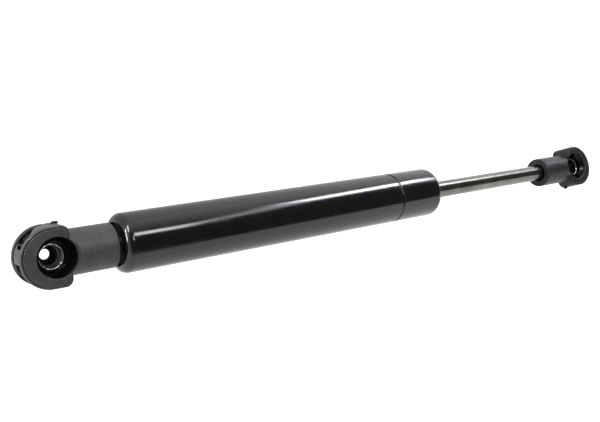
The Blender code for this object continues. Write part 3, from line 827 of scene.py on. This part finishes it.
def mouth_tools():
    """What is bored from the front: the cup's seat and hole, then the cone with its rounded lip."""
    hole_angle = math.degrees(math.asin(BACK_HOLE_RADIUS / CUP_SEAT))
    clear = 4.0 * MM
    spot_y = HEAD_FRONT_Y - 0.05 * MM
    flare = (MOUTH_RADIUS - CUP_SEAT) / (THROAT_Y - HEAD_FRONT_Y)
    lip = (HEAD_FRONT_Y + MOUTH_LIP, MOUTH_RADIUS - flare * MOUTH_LIP)
    profile = [(BOSS_Y + clear, 0.0), (BOSS_Y + clear, BACK_HOLE_RADIUS)]
    profile += arc((0.0, 0.0), CUP_SEAT, hole_angle, 90, 12)
    profile += [(HEAD_FRONT_Y - clear, CUP_SEAT), (HEAD_FRONT_Y - clear, 0.0)]
    yield turn("bore", profile, along="Y")
    profile = [(THROAT_Y, 0.0), (THROAT_Y, CUP_SEAT)]
    profile += eased(lip, (HEAD_FRONT_Y, MOUTH_RADIUS), (spot_y, MOUTH_RADIUS + 0.5 * MM), 8)
    profile += [
        (spot_y, RIM_RADIUS), (HEAD_FRONT_Y - clear, RIM_RADIUS), (HEAD_FRONT_Y - clear, 0.0),
    ]
    cone = turn("cone", profile, along="Y")
    stand(cone, Matrix.Translation((MOUTH_OFFSET, 0.0, 0.0)))
    yield cone


def moulded_socket(name, sizes, place, body, replaced, material):
    """Head, neck and boss joined, cut for the clip and the ball, then its edges softened as a
    mould leaves them."""
    shoulder, *neck_sizes = sizes
    piece = head_block(name, shoulder)
    cut(piece, neck(*neck_sizes), "UNION")
    boss = turn(
        "boss",
        [(BOSS_Y, 0.0), (BOSS_Y, BOSS_RADIUS - BOSS_EDGE), (BOSS_Y - BOSS_EDGE, BOSS_RADIUS),
         (HEAD_BACK_Y - 2.0 * MM, BOSS_RADIUS), (HEAD_BACK_Y - 2.0 * MM, 0.0)],
        along="Y",
    )
    cut(piece, boss, "UNION")
    for room in clip_rooms():
        cut(piece, room)
    for bored in mouth_tools():
        cut(piece, bored)
    modify(piece, "REMESH", mode="VOXEL", voxel_size=GRAIN_OF_MESH)
    modify(piece, "SMOOTH", factor=0.5, iterations=2)
    modify(piece, "DECIMATE", ratio=KEPT_FACES)
    stand(piece, place)
    smooth(piece)
    finish_piece(piece, body, "black_nylon", material, replaced)


def pressed_cup(name, place, body, replaced, material):
    """A steel cup pressed from thin sheet: a rolled lip, a round bottom with a hole, and a slot
    on each side for the clip's legs."""
    outer = CUP_BORE + CUP_WALL
    hole_outer = math.degrees(math.asin(CUP_HOLE_RADIUS / outer))
    hole_inner = math.degrees(math.asin(CUP_HOLE_RADIUS / CUP_BORE))
    profile = arc((0.0, 0.0), outer, hole_outer, 90, 16)
    profile += arc((CUP_LIP_Y + CUP_WALL / 2, outer - CUP_WALL / 2), CUP_WALL / 2, 90, 270, 8)
    profile += arc((0.0, 0.0), CUP_BORE, 90, hole_inner, 16)
    piece = turn(name, profile, along="Y")
    for centre in (LEG_Z, -LEG_Z):
        reach = 4.6 * MM
        cut(piece, block(
            "slot",
            (-reach, LEG_Y - WIRE_ROOM, centre - WIRE_ROOM - 0.05 * MM),
            (reach, LEG_Y + WIRE_ROOM, centre + WIRE_ROOM),
        ))
    stand(piece, place)
    smooth(piece, 35.0)
    finish_piece(piece, body, "cup_steel", material, replaced)


def clip_route():
    """The clip's route: tail, upper leg, bow round the head, lower leg. The foot is a bar of its
    own, joined on at the tail's end."""
    turn_in = 148.0
    bow = [
        (x, BOW_Y, z)
        for x, z in arc((HEAD_CENTRE_X, 0.0), BOW_RADIUS, turn_in, 360 - turn_in, 24)
    ]
    upper = [
        (TAIL_X, BOW_Y, FOOT_Z),
        (TAIL_X, BOW_Y, LEG_Z + 4.4 * MM),
        (TAIL_X, BOW_Y - 0.8 * MM, LEG_Z + 2.9 * MM),
        (TAIL_X, LEG_Y + 0.3 * MM, LEG_Z + WIRE_BEND),
        (TAIL_X - WIRE_BEND, LEG_Y, LEG_Z),
        (LEG_START_X + 1.2 * MM, LEG_Y, LEG_Z),
        (LEG_START_X + 0.4 * MM, LEG_Y + 0.3 * MM, LEG_Z + 0.1 * MM),
    ]
    lower = [(x, y, -z) for x, y, z in reversed(upper[5:])]
    tip = [(LEG_END_X, LEG_Y, -LEG_Z)]
    return upper + bow + lower + tip


def rounded_bar(start, end, radius):
    """Profile of a short bar with round ends, whose poles lie exactly on its axis."""
    profile = arc((start + radius, 0.0), radius, 180, 90, 6)
    profile += arc((end - radius, 0.0), radius, 90, 0, 6)
    return [(along, round(across, 9)) for along, across in profile]


def wire_clip(name, place, body, replaced):
    """Spring wire, bent: its corners are eased before it is given its thickness."""
    add_line(name, clip_route())
    bpy.ops.mesh.select_all(action="SELECT")
    bpy.ops.mesh.bevel(offset=0.25 * MM, segments=3, affect="VERTICES")
    bpy.ops.object.mode_set(mode="OBJECT")
    bpy.ops.object.convert(target="CURVE")
    wire = bpy.context.object
    wire.data.bevel_depth = WIRE_RADIUS
    wire.data.bevel_resolution = 6
    wire.data.use_fill_caps = True
    bpy.ops.object.convert(target="MESH")
    piece = bpy.context.object
    bpy.ops.object.mode_set(mode="EDIT")
    weld()
    foot = turn("foot", rounded_bar(FOOT_START_X, FOOT_END_X, FOOT_RADIUS), steps=24)
    stand(foot, Matrix.Translation((0.0, BOW_Y, FOOT_Z)))
    cut(piece, foot, "UNION")
    stand(piece, place)
    smooth(piece, 60.0)
    finish_piece(piece, body, "spring_steel", SPRING_STEEL, replaced)


painted_tube()
base_plug()
steel_rod()
for end, size, where, ridden, nylon, steel in (
    ("tube_end", TUBE_END_SIZES, TUBE_FITTING, "tube", TUBE_END_NYLON, TUBE_END_CUP),
    ("rod_end", ROD_END_SIZES, ROD_FITTING, "rod", ROD_END_NYLON_PAINTED_DARKER, ROD_END_CUP),
):
    moulded_socket(end + "_moulding", size, where, ridden, end + "_socket", nylon)
    pressed_cup(end + "_pressed_cup", where, ridden, end + "_ball_cup", steel)
    wire_clip(end + "_wire_clip", where, end + "_clip", end + "_clip")

# Pieces inside keep their CAD shape and get a finish
CAD_FINISHES = {
    "base_plug_seal": NITRILE,
    "tube_end_stud": ZINC,
    "seal_support_washer": ZINC,
    "rod_seal": NITRILE,
    "rod_guide": ACETAL,
    "guide_bush": BRONZE,
    "guide_seal": NITRILE,
    "guide_cap": ZINC,
    "rod_wiper": NITRILE,
    "extension_stop_washer": ZINC,
    "piston_support_washer": ZINC,
    "piston": ALUMINIUM,
    "piston_ring": ACETAL,
    "metering_disc": BRONZE,
    "disc_backing_washer": ZINC,
    "piston_nut": ZINC,
}
for cad_node, cad_finish in CAD_FINISHES.items():
    NODES[cad_node].material_slots[0].material = cad_finish


# ---------------------------------------------------------------- studio

FLOOR_Z = -0.15
FLOOR_SEEN = 0.9                  # how bright the table is to the camera
FLOOR_GLOW = 0.40                 # and to everything that mirrors it


def floor():
    """A pale table that runs back from an edge in front of the camera. It glows a little, and
    less to what mirrors it than to the camera, as a lit sweep does."""
    deselect()
    bpy.ops.mesh.primitive_plane_add(size=1.0)
    table = bpy.context.object
    table.name = "floor"
    table.matrix_world = (
        Matrix.Translation((0.13, -0.19, FLOOR_Z))
        @ Matrix.Rotation(math.radians(-20), 4, "Z")
        @ Matrix.Translation((0.0, 3.0, 0.0))
        @ Matrix.Diagonal((12.0, 6.0, 1.0, 1.0))
    )
    settle(table)
    material, tree = new_material("pale table")
    place = node(tree, "ShaderNodeTexCoord")
    # Blotches a third of a metre across
    cloud = node(
        tree, "ShaderNodeTexNoise", {"Scale": 3.0, "Detail": 2.0}, Vector=(place, "Object")
    )
    tint = node(
        tree, "ShaderNodeValToRGB", {"stops": [(0.3, "#b4b4b2"), (0.7, "#bababa")]},
        Fac=(cloud, "Fac"),
    )
    seen = node(tree, "ShaderNodeLightPath")
    glow = node(
        tree, "ShaderNodeMix", {"data_type": "FLOAT", 2: FLOOR_GLOW, 3: FLOOR_SEEN},
        Factor=(seen, "Is Camera Ray"),
    )
    shader = node(
        tree, "ShaderNodeBsdfPrincipled",
        {"Roughness": 0.9, "Emission Color": (1.0, 1.0, 0.98, 1.0)},
        Base_Color=(tint, "Color"), Emission_Strength=(glow, "Result"),
    )
    node(tree, "ShaderNodeOutputMaterial", None, Surface=(shader, "BSDF"))
    table.data.materials.append(material)


def softbox(name, place, size, turned, strength, tint="#ffffff", aim=None):
    """A rectangular soft light that faces down, or to its aim. Strength is its radiance."""
    light = bpy.data.lights.new(name, "AREA")
    light.shape = "RECTANGLE"
    light.size, light.size_y = size
    light.energy = strength * math.pi * size[0] * size[1]
    light.color = colour(tint)[:3]
    lamp = bpy.data.objects.new(name, light)
    bpy.context.scene.collection.objects.link(lamp)
    lamp.location = place
    lamp.rotation_euler = (0.0, 0.0, math.radians(turned))
    if aim is not None:
        lamp.rotation_euler = (Vector(aim) - Vector(place)).to_track_quat("-Z", "Y").to_euler()


def studio_world():
    """A pale studio: white behind the strut and overhead, dark on the camera's side and to its
    left. The tone goes by how nearly a direction faces either dark side."""
    world = bpy.data.worlds.new("studio")
    bpy.context.scene.world = world
    world.use_nodes = True
    tree = world.node_tree
    tree.nodes.clear()
    place = node(tree, "ShaderNodeTexCoord")
    towards_dark = Vector((0.640, -0.763, 0.087)).normalized()
    facing_dark = node(
        tree, "ShaderNodeVectorMath", {"operation": "DOT_PRODUCT", 1: towards_dark},
        Vector=(place, "Generated"),
    )
    facing_left = node(
        tree, "ShaderNodeVectorMath", {"operation": "DOT_PRODUCT", 1: (-0.26, -0.96, 0.087)},
        Vector=(place, "Generated"),
    )
    facing = node(
        tree, "ShaderNodeMath", {"operation": "MAXIMUM"}, _0=(facing_dark, "Value"),
        _1=(facing_left, "Value"),
    )
    half = node(
        tree, "ShaderNodeMath", {"operation": "MULTIPLY_ADD", 1: 0.5, 2: 0.5}, _0=(facing, "Value")
    )
    stops = [(0.40, 0.50), (0.55, 0.66), (0.70, 0.85), (0.78, 0.68), (0.84, 0.50), (0.90, 0.16),
             (0.93, 0.07)]
    tone = node(
        tree, "ShaderNodeValToRGB", {"stops": stops},
        Fac=(half, "Value"),
    )
    around = node(tree, "ShaderNodeBackground", {"Strength": 1.8}, Color=(tone, "Color"))
    behind = node(tree, "ShaderNodeBackground", {"Color": (1.0, 1.0, 1.0, 1.0), "Strength": 1.05})
    seen = node(tree, "ShaderNodeLightPath")
    mixed = node(
        tree, "ShaderNodeMixShader", None, Fac=(seen, "Is Camera Ray"), _1=(around, "Background"),
        _2=(behind, "Background"),
    )
    node(tree, "ShaderNodeOutputWorld", None, Surface=(mixed, "Shader"))


def camera():
    lens = bpy.data.cameras.new("camera")
    lens.sensor_width = 36.0
    lens.lens = 47.67                 # millimetres, on the 36 mm sensor
    lens.clip_start = 0.01
    lens.clip_end = 50.0
    seat = bpy.data.objects.new("camera", lens)
    bpy.context.scene.collection.objects.link(seat)
    seat.location = (-112.7 * MM, -334.7 * MM, 65.8 * MM)
    seat.rotation_euler = [math.radians(a) for a in (81.17, 2.96, -37.10)]
    bpy.context.scene.camera = seat


floor()
softbox("tube side softbox", (0.930, -0.327, 0.80), (0.43, 0.20), 37.8, 28.0, "#f2f6ff")
softbox("rod side softbox", (1.330, -0.330, 0.80), (0.52, 0.24), -15.0, 5.0, "#f2f6ff")
softbox("tube end softbox", (0.590, -1.180, 0.80), (0.46, 0.32), 105.0, 15.0)
softbox("join softbox", (0.744, -0.730, 0.80), (0.54, 0.18), 83.0, 4.0)
softbox("left softbox", (-1.50, 0.05, 0.45), (0.07, 0.85), 0.0, 110.0, aim=(0.0, 0.0, 0.0))
softbox("upper left softbox", (-0.62, -0.42, 0.95), (0.12, 0.50), 0.0, 40.0, aim=(0.0, 0.0, 0.0))
softbox("front softbox", (0.02, -1.50, 0.62), (0.08, 0.40), 0.0, 60.0, aim=(0.0, 0.0, 0.0))
studio_world()
camera()
bpy.context.scene.view_settings.view_transform = "Standard"
